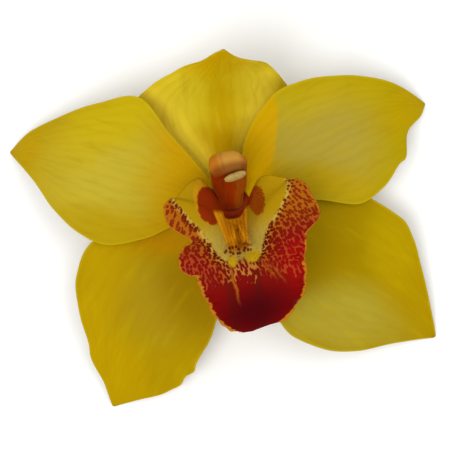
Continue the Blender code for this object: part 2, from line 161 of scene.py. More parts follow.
def sheetPiece(name, grid, sides, length, widthAt, fleshAt, finish):
    # wraps a grid of middle points in a front and a back that meet in a rounded margin; its marks
    # tell the finish each point's share of length, width and front, its place along and across
    # the blade with its distance from the margin, and its place in the bloom
    normals = sheetNormals(grid)
    rows = len(grid) - 1
    columns = len(sides) - 1
    order = [(k, 1) for k in range(columns + 1)] + [(k, -1) for k in range(columns - 1, 0, -1)]
    rings, marks = [], {"share": [], "place": []}
    for i, line in enumerate(grid):
        share = i / rows
        ring, shares, places = [], [], []
        for k, way in order:
            ahead, behind = fleshAt(share, sides[k])
            roundOff = sqrt(max(1 - sides[k] ** marginPower, 0))
            point = line[k] + normals[i][k] * roundOff * (ahead if way > 0 else -behind)
            front = 0.5 if k in (0, columns) else (way + 1) / 2
            ring.append(point)
            shares.append((share, sides[k], front))
            width = widthAt(share, sides[k])
            places.append((share * length, sides[k] * width, (1 - abs(sides[k])) * width))
        rings.append(ring)
        marks["share"].append(shares)
        marks["place"].append(places)
    return loftMesh(name, rings, marks, finish)


def handOver(piece, nodeName):
    # every finished piece rides on the one body; all but the down stand for a CAD node
    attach(piece, "root")
    if nodeName:
        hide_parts(nodeName)
    print("made", piece.name, len(piece.data.polygons), "faces")


# Finishes: arithmetic on a Value adds Math nodes, and Finish holds one material's nodes

def operator(name):
    return lambda value, *others: value.finish.node("ShaderNodeMath", {"operation": name}, (value, *others))


class Value:
    def __init__(self, finish, socket):
        self.finish = finish
        self.socket = socket

    __add__ = __radd__ = operator("ADD")
    __mul__ = __rmul__ = operator("MULTIPLY")
    __sub__ = operator("SUBTRACT")
    __truediv__ = operator("DIVIDE")
    __pow__ = operator("POWER")
    size = operator("ABSOLUTE")
    sine = operator("SINE")
    most = operator("MAXIMUM")

    def __rsub__(self, other):
        return self.finish.node("ShaderNodeMath", {"operation": "SUBTRACT"}, (other, self))

    def between(self, low, high):
        # smooth step from 0 at low to 1 at high; low may be the larger one
        values = {"Value": self, "From Min": low, "From Max": high}
        return self.finish.node("ShaderNodeMapRange", {"interpolation_type": "SMOOTHSTEP"}, values)

    def within(self, middle, width):
        # 1 at the middle, falling smoothly to 0 at width from it
        return (self - middle).size().between(width, 0.0)


def asLight(colour):
    # a colour as a screen shows it, turned into the light that it stands for
    def straighten(part):
        part /= 255
        return part / 12.92 if part <= 0.04045 else ((part + 0.055) / 1.055) ** 2.4
    return (*map(straighten, colour), 1.0)


class Finish:
    def __init__(self, name):
        self.material = bpy.data.materials.new(name)
        self.material.use_nodes = True
        self.tree = self.material.node_tree
        self.shader = self.tree.nodes["Principled BSDF"]

    def node(self, kind, settings=None, values=(), outputs=(0,)):
        made = self.tree.nodes.new(kind)
        for key, setting in (settings or {}).items():
            if key == "points":
                curve = made.mapping.curves[0]
                curve.points[0].location = setting[0]
                curve.points[1].location = setting[-1]
                for place in setting[1:-1]:
                    curve.points.new(*place)
                made.mapping.update()
            else:
                setattr(made, key, setting)
        pairs = values.items() if isinstance(values, dict) else enumerate(values)
        for key, value in pairs:
            if isinstance(value, Value):
                self.tree.links.new(value.socket, made.inputs[key])
            else:
                made.inputs[key].default_value = value
        found = [Value(self, made.outputs[key]) for key in outputs]
        return found[0] if len(found) == 1 else found

    def attribute(self, name):
        return self.node("ShaderNodeAttribute", {"attribute_name": name}, (), ("Vector",))

    def split(self, vector):
        return self.node("ShaderNodeSeparateXYZ", None, (vector,), (0, 1, 2))

    def join(self, x, y, z):
        return self.node("ShaderNodeCombineXYZ", None, (x, y, z))

    def clouds(self, vector, scale, detail=3.0):
        values = {"Vector": vector, "Scale": scale, "Detail": detail}
        return self.node("ShaderNodeTexNoise", None, values)

    def drawnOut(self, along, across, seed, scale=1.0, detail=3.0):
        # clouds stretched along one way; seed sets them apart from piece to piece
        return self.clouds(self.join(along, across, seed), scale, detail)

    def cells(self, vector, scale, randomness=1.0):
        # distance to the nearest of the scattered points of a flat pattern
        values = {"Vector": vector, "Scale": scale, "Randomness": randomness}
        return self.node("ShaderNodeTexVoronoi", {"voronoi_dimensions": "2D"}, values, ("Distance",))

    def mix(self, share, first, second):
        first, second = (held if isinstance(held, Value) else asLight(held) for held in (first, second))
        values = {0: share, 6: first, 7: second}
        return self.node("ShaderNodeMix", {"data_type": "RGBA"}, values, (2,))

    def layers(self, look, colour, coats):
        # lays each coat over the last: a coat is its share and its colour, or the name of one
        for share, coat in coats:
            colour = self.mix(share, colour, look.get(coat, coat))
        return colour

    def curve(self, value, low, high, points):
        # a drawn curve: each point is a place from low to high and the value there
        reach = max(abs(y) for x, y in points)
        drawn = [((x - low) / (high - low), 0.5 + y / reach / 2) for x, y in points]
        along = self.node("ShaderNodeMapRange", None, {"Value": value, "From Min": low, "From Max": high})
        return (self.node("ShaderNodeFloatCurve", {"points": drawn}, {"Value": along}) - 0.5) * (2 * reach)

    def blob(self, x, y, middle, radii, turnDeg=0.0, soft=0.25):
        # 1 inside a turned ellipse on the bloom's face, 0 outside
        turn = radians(turnDeg)
        dx, dy = x - middle[0], y - middle[1]
        along = (dx * cos(turn) + dy * sin(turn)) / radii[0]
        across = (dy * cos(turn) - dx * sin(turn)) / radii[1]
        away = (along * along + across * across) ** 0.5
        return away.between(1 + soft, 1 - soft)

    def relief(self, height, depth):
        values = {"Strength": 1.0, "Distance": depth * millimetre, "Height": height}
        return self.node("ShaderNodeBump", None, values, ("Normal",))

    def finishWith(self, constants, varying):
        for key, value in constants.items():
            self.shader.inputs[key].default_value = value
        for key, value in varying.items():
            self.tree.links.new(value.socket, self.shader.inputs[key])
        return self.material

    def flesh(self, look, colour, rough, height):
        # the ending of all living surfaces; some let a share of the light glow through
        if "glow" in look:
            through = self.node("ShaderNodeBsdfTranslucent", None, {"Color": asLight(look["glowColour"])})
            opaque = Value(self, self.shader.outputs[0])
            blend = self.node("ShaderNodeMixShader", None, (look["glow"], opaque, through))
            self.tree.links.new(blend.socket, self.tree.nodes["Material Output"].inputs["Surface"])
        varying = {
            "Base Color": colour, "Roughness": rough + look["roughness"],
            "Normal": self.relief(height, look["relief"]),
        }
        return self.finishWith({"Specular IOR Level": look["gloss"]}, varying)


# the throat's dark red-brown, which also stands for shade in the throat: it runs over the lip's foot, the
# petals' feet and the stalk's flat top as painted shade
throatColour = (140, 42, 3)


# Geometry node trees

def nodeTree(name, settings):
    # each setting gets an input of its own name and kind
    kinds = {float: "NodeSocketFloat", int: "NodeSocketInt", tuple: "NodeSocketVector"}
    tree = bpy.data.node_groups.new(name, "GeometryNodeTree")
    tree.interface.new_socket("Geometry", in_out="INPUT", socket_type="NodeSocketGeometry")
    for label, setting in settings.items():
        tree.interface.new_socket(label, in_out="INPUT", socket_type=kinds[type(setting)])
    tree.interface.new_socket("Geometry", in_out="OUTPUT", socket_type="NodeSocketGeometry")
    return tree


def growMesh(name, host, tree, settings, finish):
    # runs a node tree on the host object and keeps the result as a plain mesh
    modifier = host.modifiers.new("grow", "NODES")
    modifier.node_group = tree
    for item in tree.interface.items_tree:
        if item.in_out == "INPUT" and item.name in settings:
            modifier[item.identifier] = settings[item.name]
    graph = bpy.context.evaluated_depsgraph_get()
    mesh = bpy.data.meshes.new_from_object(host.evaluated_get(graph), depsgraph=graph)
    mesh.name = name
    bpy.data.objects.remove(host)
    if not mesh.materials:
        mesh.materials.append(finish)
    return newObject(name, mesh)


class Graph:
    # a geometry node tree that is written as plain calls; add gives a node's outputs
    def __init__(self, tree):
        self.tree = tree
        self.inputs = tree.nodes.new("NodeGroupInput")
        self.output = tree.nodes.new("NodeGroupOutput")

    def add(self, kind, values=None, **settings):
        made = self.tree.nodes.new(kind)
        for key, setting in settings.items():
            setattr(made, key, setting)
        for key, value in (values or {}).items():
            if isinstance(value, bpy.types.NodeSocket):
                self.tree.links.new(value, made.inputs[key])
            else:
                made.inputs[key].default_value = value
        return made.outputs

    def first(self, kind, values=None, **settings):
        return self.add(kind, values, **settings)[0]

    def maths(self, operation, first, second=0.0):
        return self.first("ShaderNodeMath", {0: first, 1: second}, operation=operation)

    def scale(self, vector, share):
        return self.first("ShaderNodeVectorMath", {0: vector, "Scale": share}, operation="SCALE")

    def named(self, name):
        return self.first("GeometryNodeInputNamedAttribute", {"Name": name}, data_type="FLOAT")

    def store(self, geometry, name, value):
        held = {"Geometry": geometry, "Name": name, "Value": value}
        return self.first("GeometryNodeStoreNamedAttribute", held, data_type="FLOAT")

    def close(self, geometry, finish):
        # every tree ends by making its copies real and giving them their finish
        real = self.first("GeometryNodeRealizeInstances", {"Geometry": geometry})
        done = self.first("GeometryNodeSetMaterial", {"Geometry": real, "Material": finish})
        self.tree.links.new(done, self.output.inputs[0])


# Sepals and petals

tepalBuild = {
    "rows": 96, "columns": 40, "stepsARow": 2, "halfFlesh": 0.5, "marginThinning": 0.6,
    "tipThinning": 0.35, "midribGroove": 0.22, "midribKeel": 0.5, "midribWidth": 1.5, "waveLag": 0.25,
    "lobeWidth": 0.035, "crinkle": 0.22, "crinkleInside": 0.3, "crinkleLength": 7.0, "pleat": 0.05,
    "pleats": 5, "leastCup": 1e-4,
}
# the pale tint is the colour of the painted sheen on the blades
tepalLook = {
    "body": (186, 157, 4), "pale": (196, 178, 52), "light": (198, 172, 4), "gold": (190, 145, 2),
    "lemon": (200, 176, 12), "olive": (168, 140, 4), "amber": (192, 148, 2), "vein": (164, 130, 0),
    "rim": (202, 178, 12), "back": (184, 162, 46), "keel": (168, 158, 50), "glowColour": (190, 156, 0),
    "glow": 0.2, "gloss": 0.012, "roughness": 0.5, "relief": 0.07, "drift": 9.0, "veins": 44.0,
    "veinWander": 10.0, "veinStrength": 0.2, "veinStrengthBehind": 0.55, "streakStrength": 0.3,
    "mottleStrength": 0.18, "rimStrength": 0.45, "keelStrength": 0.6,
    # where the blades' feet beside the column are painted with the throat's shade: its middle, radii, turn
    # and softness
    "throat": ((-4.0, 0.2), (3.4, 4.2), 0.0, 0.08),
}

# What they share: where they sit on the ovary, their cup and their wave. Stops run from base to
# tip, a wave has its height, count and start, and lobes are bumps of one margin.
sepal = {"slot": "sepal", "seatRadius": 5.5, "seatLevel": -1.0, "lobes": ()}
lowSepal = dict(sepal, cup=((0, 6), (0.4, 10), (0.8, 4), (1, 10)), wave=(0.6, 3, 0.2))
petal = {
    "slot": "petal", "seatRadius": 4.7, "seatLevel": 1.35, "lobes": (),
    "cup": ((0, 10), (0.4, 12), (0.8, 2), (1, 6)), "wave": (0.5, 3, 0.4),
}

# A wash is a soft patch of a colour on the face: its middle, radii, turn, softness and strength. Some washes
# are painted sheen, painted light or painted shade, as noted at each.
tepals = {
    "sepal_dorsal": {
        **sepal, "angle": 92, "length": 50.2, "wave": (0.5, 3, 0.6),
        "heading": ((0, 96), (0.35, 86), (0.65, 68), (1, 58)),
        "pitch": ((0, 4), (0.3, 22), (0.55, 54), (0.8, 75), (1, 81)),
        "roll": ((0, 0), (0.3, 0), (0.6, 10), (1, 18)),
        "cup": ((0, 4), (0.3, -8), (0.55, -18), (0.85, -14), (1, 0)),
        "left": ((0, 3.8), (0.15, 9.4), (0.3, 17), (0.42, 20.4), (0.5, 16.7), (0.6, 10.6), (0.7, 6.8),
                 (0.83, 3.7), (1, 0.5)),
        "right": ((0, 3.8), (0.15, 9.6), (0.3, 17.2), (0.42, 19.8), (0.57, 17), (0.7, 12.8), (0.77, 10.5),
                  (0.86, 4.6), (1, 0.5)),
        "look": {"body": (208, 178, 4), "pale": (214, 192, 34), "light": (228, 204, 48),
                 "gold": (218, 172, 0), "amber": (186, 143, 0), "bright": (250, 222, 60)},
        "washes": (
            # The pale and light washes high on both sides are painted sheen and painted light on the steep
            # sepal.
            ("pale", (-6, 26), (5, 11), 0, 0.7, 0.8), ("light", (12, 26), (7, 10), 0, 0.8, 0.8),
            ("light", (-12, 27), (6, 9), 10, 0.8, 0.7), ("amber", (1, 22), (3.2, 13), -5, 0.9, 0.4),
            # The amber wash at the foot is partly the sepal's golden base and partly painted shade deep in
            # the cup.
            ("amber", (0, 12), (12, 7), 0, 0.6, 0.9), ("gold", (3, 37), (10, 4), 0, 0.7, 0.8),
            # The two bright bands along the petals' margins are painted light: they stand for light coming
            # through the petals and lift the shadow that the petals cast here.
            ("bright", (-12, 21), (15, 3.4), -58, 0.8, 0.9),
            ("bright", (9.5, 20.5), (10, 2.6), 60, 0.8, 0.7),
        ),
    },
    "sepal_left": {
        **lowSepal, "angle": 222, "length": 58.2,
        "heading": ((0, 221), (0.5, 229), (0.75, 241), (1, 254)),
        "pitch": ((0, -3), (0.4, -5), (0.75, -17), (1, -27)),
        "roll": ((0, 0), (0.4, 4), (1, 0)),
        "left": ((0, 3.8), (0.15, 9), (0.3, 14.6), (0.5, 17.6), (0.65, 17.5), (0.85, 13.4), (0.95, 5.4),
                 (1, 0.5)),
        "right": ((0, 3.8), (0.15, 11), (0.3, 19.4), (0.44, 22.5), (0.55, 20.7), (0.65, 15.8), (0.75, 10.3),
                  (0.8, 8.8), (0.9, 3.5), (1, 0.5)),
        "lobes": ((1, 0.66, 0.5), (1, 0.72, -0.4), (1, 0.79, 0.6), (1, 0.86, -0.3)),
        # the warm tint is the colour of painted shade under the left petal's margin
        "look": {"body": (176, 144, 2), "pale": (172, 143, 22), "gold": (188, 153, 0),
                 "olive": (160, 124, 0), "warm": (196, 138, 0)},
        "washes": (
            ("gold", (-34, -9), (7, 13), 15, 0.7, 0.8), ("gold", (-40, -30), (7, 16), 10, 0.7, 0.8),
            # The pale wash in the middle is painted sheen.
            ("gold", (-36, -41), (7, 8), 0, 0.7, 0.8), ("pale", (-22, -22), (9, 10), 0, 0.8, 0.9),
            # The olive wash beside the lip and the warm wash under the left petal's margin are painted
            # shade.
            ("olive", (-12, -20), (8, 11), 0, 0.7, 0.9), ("warm", (-18, -5.5), (10, 5), -10, 0.7, 0.8),
        ),
    },
    "sepal_right": {
        **lowSepal, "angle": 318, "length": 60.0,
        "heading": ((0, 321), (0.5, 322), (0.75, 316), (1, 303)),
        "pitch": ((0, -3), (0.4, -5), (0.75, -17), (1, -23.2)),
        "roll": ((0, 0), (0.4, -4), (1, 0)),
        "left": ((0, 3.8), (0.15, 12), (0.3, 17.8), (0.45, 19.6), (0.58, 19), (0.66, 16.2), (0.75, 11.5),
                 (0.9, 4.1), (1, 0.5)),
        "right": ((0, 3.8), (0.15, 10), (0.3, 18.8), (0.42, 21.7), (0.56, 20.6), (0.72, 16.3), (0.88, 8.2),
                  (1, 0.5)),
        "look": {"body": (166, 137, 2), "pale": (176, 161, 50), "gold": (176, 143, 0),
                 "olive": (160, 130, 0)},
        "washes": (
            # The pale band across the lower half is painted sheen.
            ("pale", (24, -33), (18, 8), -14, 0.6, 0.9), ("olive", (28, -13), (15, 7), 0, 0.7, 0.7),
            ("gold", (43, -29), (7, 16), 15, 0.7, 0.9), ("light", (40, -16), (6, 9), 0, 0.8, 0.4),
            ("olive", (14, -16), (8, 9), 0, 0.6, 0.9),
        ),
    },
    "petal_left": {
        **petal, "angle": 160, "length": 59.3,
        "heading": ((0, 156), (0.5, 158), (1, 162)),
        "pitch": ((0, 10), (0.35, 0), (0.7, -25), (1, -52.8)),
        "roll": ((0, -15), (0.4, -17), (0.7, -6), (1, 0)),
        "left": ((0, 3.2), (0.15, 10.2), (0.25, 14.8), (0.42, 18.9), (0.55, 17), (0.7, 12.3), (0.8, 7),
                 (0.87, 4.3), (1, 0.5)),
        "right": ((0, 3.2), (0.15, 9.6), (0.25, 14), (0.41, 21.6), (0.55, 17.3), (0.7, 12.2), (0.88, 6.2),
                  (1, 0.5)),
        "look": {"body": (186, 157, 18), "gold": (204, 155, 0), "olive": (180, 152, 6)},
        "washes": (
            # The pale wash in the middle of the blade is painted sheen.
            ("pale", (-30.7, 11), (16, 12), 20, 0.7, 0.85), ("lemon", (-26, 25), (13, 6), 20, 0.7, 0.8),
            # The first gold wash is partly the petal's golden base and partly painted shade where the dorsal
            # sepal lies behind the petal.
            ("gold", (-8, 10), (10, 22), -20, 0.6, 0.8), ("gold", (-53, 21), (8, 6), 0, 0.6, 0.3),
            ("gold", (-23, -4), (12, 4), -10, 0.7, 0.5), ("olive", (-36, -1), (13, 5), -20, 0.7, 0.7),
        ),
    },
    "petal_right": {
        **petal, "angle": 22, "length": 57.5,
        "heading": ((0, 26), (0.5, 18), (1, 9.5)),
        "pitch": ((0, 10), (0.35, 0), (0.7, -25), (1, -57)),
        "roll": ((0, 16), (0.4, 18), (0.7, 6), (1, 0)),
        "left": ((0, 3.2), (0.15, 13.6), (0.25, 17.4), (0.35, 19.5), (0.44, 18.7), (0.57, 15.3),
                 (0.75, 10.3), (0.92, 3.8), (1, 0.5)),
        "right": ((0, 3.2), (0.15, 8.3), (0.25, 10.9), (0.46, 18), (0.58, 16.3), (0.7, 12.6), (0.76, 10.9),
                  (0.81, 6.4), (0.87, 4.1), (0.93, 2.9), (1, 0.5)),
        "lobes": ((-1, 0.76, 0.7), (-1, 0.82, -0.4)),
        "look": {"body": (180, 157, 10), "pale": (174, 156, 60), "gold": (190, 158, 2),
                 "amber": (210, 162, 0)},
        "washes": (
            # The pale wash in the middle of the blade is painted sheen.
            ("pale", (25, 11), (14, 12), 20, 0.6, 0.9), ("light", (28, 25), (13, 6), 10, 0.8, 0.5),
            # The sharp-edged first amber wash is painted shade: the dorsal sepal's margin seen darker
            # through the petal.
            ("amber", (8.5, 17), (6.5, 13), -12, 0.12, 0.85), ("amber", (6, 3), (9, 8), 0, 0.5, 0.7),
            ("gold", (51, 17), (9, 7), 0, 0.7, 0.8), ("gold", (23, 1.5), (11, 5), -12, 0.7, 0.8),
        ),
    },
}


def tepalSides():
    # crowded towards the margins, so that they round off
    count = tepalBuild["columns"]
    return [sin(pi / 2 * (2 * k / count - 1)) for k in range(count + 1)]


def tepalWidth(tepal, share, side):
    width = readStops(tepal["left"] if side > 0 else tepal["right"], share)
    for way, place, height in tepal["lobes"]:
        if way * side > 0:
            width += height * hump(share - place, tepalBuild["lobeWidth"])
    return width


def tepalRise(tepal, seed, share, side, width):
    # how far the wave, the crinkle and the pleats lift a point of the blade
    build = tepalBuild
    height, waves, start = tepal["wave"]
    arch = sin(pi * share)
    phase = 2 * pi * (waves * share + start + (build["waveLag"] if side > 0 else 0))
    wave = height * abs(side) ** 3 * arch * sin(phase)
    spot = Vector((share * tepal["length"], side * width, seed)) / build["crinkleLength"]
    crinkle = build["crinkle"] * noise.noise(spot) * arch * (build["crinkleInside"] + side * side)
    pleat = build["pleat"] * cos(2 * pi * build["pleats"] * side)
    return wave + crinkle + pleat * ease(share * 5) * ease(4 - 4 * share)


def tepalGrid(tepal, seed):
    rows = tepalBuild["rows"]
    steps = rows * tepalBuild["stepsARow"]
    point = bearing(tepal["angle"], 0) * tepal["seatRadius"] + faceNormal * tepal["seatLevel"]
    grid = []

    def wayAt(share):
        return bearing(readStops(tepal["heading"], share), readStops(tepal["pitch"], share))

    for row in range(rows + 1):
        share = row / rows
        ahead = wayAt(share)
        level = faceNormal.cross(ahead).normalized()
        roll = radians(readStops(tepal["roll"], share))
        aside = level * cos(roll) + ahead.cross(level) * sin(roll)
        up = ahead.cross(aside)
        cup = radians(readStops(tepal["cup"], share))
        line = []
        for side in tepalSides():
            width = tepalWidth(tepal, share, side)
            across, rise = width * abs(side), 0.0
            if abs(cup) > tepalBuild["leastCup"]:
                across = width / cup * sin(cup * abs(side))
                rise = width / cup * (1 - cos(cup * abs(side)))
            rise += tepalRise(tepal, seed, share, side, width)
            line.append(point + aside * copysign(across, side) + up * rise)
        grid.append(line)
        for part in range(tepalBuild["stepsARow"]):
            point = point + wayAt(share + (part + 0.5) / steps) * (tepal["length"] / steps)
    return grid


def tepalFlesh(tepal, share, side):
    # how thick the blade is in front of its middle and behind it
    build = tepalBuild
    plain = build["halfFlesh"] * (1 - build["tipThinning"] * share)
    plain *= 1 - build["marginThinning"] * abs(side) ** 3
    rib = hump(side * tepalWidth(tepal, share, side), build["midribWidth"]) * (1 - share)
    return plain - build["midribGroove"] * rib, plain + build["midribKeel"] * rib


def tepalFinish(name, tepal, seed):
    look = dict(tepalLook, **tepal["look"])
    finish = Finish(name + " flesh")
    share, side, front = finish.split(finish.attribute("share"))
    along, across, margin = finish.split(finish.attribute("place"))
    face = finish.attribute("face")
    faceX, faceY = finish.split(face)[:2]
    drift = (finish.clouds(face, 0.07) - 0.5) * look["drift"]
    x, y = faceX + drift, faceY - drift
    streaks = finish.drawnOut(along * 0.09, across * 0.45, seed) - 0.5
    mottle = finish.drawnOut(along * 0.22, across * 0.3, seed, 1.0, 4.0) - 0.5
    wander = finish.drawnOut(along * 0.04, side * 1.2, seed, 2.0, 2.0)
    veins = ((side * look["veins"] + wander * look["veinWander"]).sine() * 0.5 + 0.5) ** 3.0
    veins = veins * finish.drawnOut(along * 0.2, side * 9.0, seed, 1.0, 2.0)

    # the washes give the blades' own tints together with painted sheen, painted light and painted shade
    washes = [(finish.blob(x, y, middle, radii, turnDeg, soft) * strength, key)
              for key, middle, radii, turnDeg, soft, strength in tepal["washes"]]
    colour = finish.layers(look, look["body"], washes)
    colour = finish.layers(look, colour, (
        # the feet beside the column are painted dark in the throat's colour, as shade of the throat
        (finish.blob(faceX, faceY, *look["throat"]), throatColour),
        (streaks.between(0.0, 0.3) * look["streakStrength"], "light"),
        (streaks.between(0.0, -0.3) * look["streakStrength"], "vein"),
        (veins * look["veinStrength"], "vein"),
        (mottle.between(0.05, 0.3) * look["mottleStrength"], "vein"),
        (margin.between(0.7, 0.2) * look["rimStrength"], "rim"),
    ))
    keel = across.within(0.0, 1.8) * share.between(1.0, 0.5)
    back = finish.layers(look, look["back"], (
        (veins * look["veinStrengthBehind"], "vein"),
        (keel * look["keelStrength"], "keel"),
    ))
    colour = finish.mix((1 - front).between(0.2, 0.8), colour, back)
    grit = finish.drawnOut(along, across, seed, 3.5, 2.0)
    return finish.flesh(look, colour, mottle * 0.2, veins * 0.7 + mottle * 0.6 + grit * 0.25)


def makeTepal(name, tepal, seed):
    def widthAt(share, side):
        return tepalWidth(tepal, share, side)

    def fleshAt(share, side):
        return tepalFlesh(tepal, share, side)

    grid, finish = tepalGrid(tepal, seed), tepalFinish(name, tepal, seed)
    piece = sheetPiece(name + "_flesh", grid, tepalSides(), tepal["length"], widthAt, fleshAt, finish)
    handOver(piece, name)


seedStep = 3.7
for order, (name, tepal) in enumerate(tepals.items()):
    makeTepal(name, tepal, order * seedStep)
print("tepals done")


# The lip: a trough under the column that opens into two side lobes and a turned down lobe

lip = {
    "base": (0, -4.2, 0.85), "length": 40.9, "yawDeg": 3, "rows": 168, "columns": 84,
    "turn": ((0, 46), (0.15, 26), (0.35, 22), (0.45, 32), (0.55, 58), (0.7, 84), (0.85, 106), (1, 132)),
    "swing": ((0, 0), (0.46, 0), (0.56, 12), (0.68, 6), (0.85, -16), (1, -34)),
    "left": ((0, 4.5), (0.03, 10.5), (0.07, 15.5), (0.13, 18.4), (0.25, 21.2), (0.345, 22.8),
             (0.385, 21), (0.417, 13.8), (0.46, 15.6), (0.53, 16.6), (0.56, 15.6), (0.59, 13),
             (0.65, 13.5), (0.74, 12.6), (0.86, 10), (0.95, 5.6), (1, 1.6)),
    "right": ((0, 4.5), (0.03, 10), (0.08, 14), (0.16, 17.4), (0.26, 21.6), (0.36, 23.4), (0.43, 22.4),
              (0.48, 17), (0.52, 16.2), (0.57, 14.6), (0.64, 14.1), (0.76, 12.9), (0.87, 10.6),
              (0.95, 7.4), (1, 2.4)),
    "floor": ((0, 3.9), (0.3, 5), (0.5, 8), (1, 9)),
    "wall": ((0, 70), (0.12, 80), (0.3, 68), (0.42, 40), (0.52, 18), (0.65, 6), (1, 4)),
    "flare": ((0, 70), (0.15, 62), (0.27, 26), (0.42, 4), (0.52, -10), (0.65, -24), (0.85, -34), (1, -20)),
    "lean": ((0, 0), (0.2, 4), (0.45, 2), (0.6, 0)),
    "ruffle": ((0, 0), (0.2, 0.3), (0.36, 1), (0.6, 0.9), (0.85, 1.2), (1, 0.5)),
    "ruffles": 6.5, "ruffleShift": 1.3,
    "frill": ((0, 0), (0.25, 0.1), (0.4, 0.3), (0.7, 0.42), (1, 0.25)), "frills": 23,
    "tooth": ((0, 0), (0.3, 0.1), (0.5, 0.28), (1, 0.3)), "teeth": 41,
    "frillDrift": 2.2, "frillDrifts": 9, "toothSeeds": (3.1, 8.4), "toothSlice": 0.5,
    "halfFlesh": 0.45, "marginThinning": 0.6, "sectionSteps": 24, "stepsARow": 4,
    "crowding": 1.15, "marginCrowding": 0.45,
    "keelStart": 0.06, "keelEnd": 0.5, "keelRise": 0.25, "keelFall": 0.2,
    "keelSpacing": 2.1, "keelWidth": 1.15, "keelHeight": 1.5,
    "ridgeStart": 0.14, "ridgeEnd": 0.47, "ridgeRise": 0.25, "ridgeFall": 0.2,
    "ridges": 5, "ridgeSpacing": 1.05, "ridgeWidth": 0.34, "ridgeHeight": 0.5,
}


def lipSides():
    # crowded towards the callus in the middle and once more at the margins
    sides = []
    for k in range(lip["columns"] + 1):
        t = 2 * k / lip["columns"] - 1
        t += lip["marginCrowding"] * (sin(pi / 2 * t) - t)
        sides.append(copysign(abs(t) ** lip["crowding"], t))
    return sides


def lipWidth(share, side):
    width = readStops(lip["left"] if side < 0 else lip["right"], share)
    tooth = readStops(lip["tooth"], share)
    spot = (share * lip["teeth"], lip["toothSeeds"][0 if side < 0 else 1], lip["toothSlice"])
    return width + tooth * noise.noise(Vector(spot)) * ease(share * 6)


def lipSection(share, side):
    # walks from the midline to the margin: how far across and how high a point of the section is
    width = lipWidth(share, side)
    floor = readStops(lip["floor"], share)
    wall = readStops(lip["wall"], share) - copysign(readStops(lip["lean"], share), side)
    flare = readStops(lip["flare"], share)
    across = rise = 0.0
    step = abs(side) * width / lip["sectionSteps"]
    for k in range(lip["sectionSteps"]):
        reach = step * (k + 0.5)
        slope = wall * ease(reach / floor) + (flare - wall) * ease((reach - floor) / max(width - floor, 1))
        across += cos(radians(slope)) * step
        rise += sin(radians(slope)) * step
    shift = lip["ruffleShift"] if side > 0 else 0
    ruffle = sin(2 * pi * lip["ruffles"] * share + shift)
    drift = lip["frillDrift"] * sin(lip["frillDrifts"] * share)
    frill = sin(2 * pi * lip["frills"] * share + 2 * shift + drift)
    rise += readStops(lip["ruffle"], share) * abs(side) ** 4 * ruffle
    rise += readStops(lip["frill"], share) * abs(side) ** 7 * frill
    return copysign(across, side), rise


def lipGrid(sides):
    yaw = radians(lip["yawDeg"])
    aside = Vector((cos(yaw), 0, -sin(yaw)))
    forward = Vector((sin(yaw), 0, cos(yaw)))
    point = Vector(lip["base"])
    steps = lip["rows"] * lip["stepsARow"]
    grid = []
    for row in range(lip["rows"] + 1):
        share = row / lip["rows"]
        turn = radians(readStops(lip["turn"], share))
        up = Vector((0, cos(turn), 0)) + forward * sin(turn)
        line = []
        for side in sides:
            across, rise = lipSection(share, side)
            line.append(point + aside * across + up * rise)
        grid.append(line)
        for part in range(lip["stepsARow"]):
            here = share + (part + 0.5) / steps
            turn = radians(readStops(lip["turn"], here))
            swing = radians(readStops(lip["swing"], here))
            ahead = Vector((0, -sin(turn), 0)) + forward * cos(turn)
            way = ahead * cos(swing) + aside * sin(swing)
            point = point + way * (lip["length"] / steps)
    return grid


def lipFlesh(share, side):
    # how thick the lip is in front of its middle, with the callus, and behind it
    reach = side * lipWidth(share, side)
    run = (share - lip["keelStart"]) / (lip["keelEnd"] - lip["keelStart"])
    keel = ease(run / lip["keelRise"]) * ease((1 - run) / lip["keelFall"])
    keel *= hump(abs(reach) - lip["keelSpacing"], lip["keelWidth"])
    run = (share - lip["ridgeStart"]) / (lip["ridgeEnd"] - lip["ridgeStart"])
    ridge = 0.0
    for k in range(lip["ridges"]):
        middle = (k - (lip["ridges"] - 1) / 2) * lip["ridgeSpacing"]
        ridge += hump(reach - middle, lip["ridgeWidth"])
    ridge *= ease(run / lip["ridgeRise"]) * ease((1 - run) / lip["ridgeFall"])
    plain = lip["halfFlesh"] * (1 - lip["marginThinning"] * abs(side) ** 3)
    return plain + lip["keelHeight"] * keel + lip["ridgeHeight"] * ridge, plain


lipLook = {
    "cream": (184, 156, 62), "gold": (168, 132, 6), "orange": (162, 90, 10), "coral": (158, 56, 22),
    "red": (118, 2, 1), "bright": (142, 5, 2), "maroon": (70, 0, 4), "flank": (116, 14, 6),
    "spot": (124, 40, 4), "darkSpot": (88, 18, 4), "patch": (148, 70, 6), "fold": (196, 140, 14),
    "callus": (232, 162, 18), "groove": (180, 106, 12), "blob": (184, 148, 14), "margin": (186, 118, 22),
    "back": (178, 142, 40), "backRed": (150, 62, 22), "glow": 0.06, "glowColour": (118, 2, 1),
    "gloss": 0.03, "roughness": 0.5, "relief": 0.08, "cells": 1.5, "footCells": 1.05, "scatter": 0.9,
    "spotSize": 0.39, "ripeSpots": 0.12, "solidSpots": 0.8, "topSpots": 0.05, "leftSpots": 0.07,
    "bumpSpots": 0.12,
}

# Where the pale arms end: places up the bloom's face and how far out the spots begin there
spotsFromRight = (
    (-18, 2.5), (-14.6, 4.3), (-12.8, 5.6), (-7.7, 8), (-4.1, 10.8), (-0.3, 13.6), (3.5, 14.2), (6, 14.6))
spotsFromLeft = ((-18, 2.5), (-14.3, 3.9), (-12.2, 5.5), (-9, 6.9), (-3.3, 10.2), (1.5, 13.2), (8, 15.5))

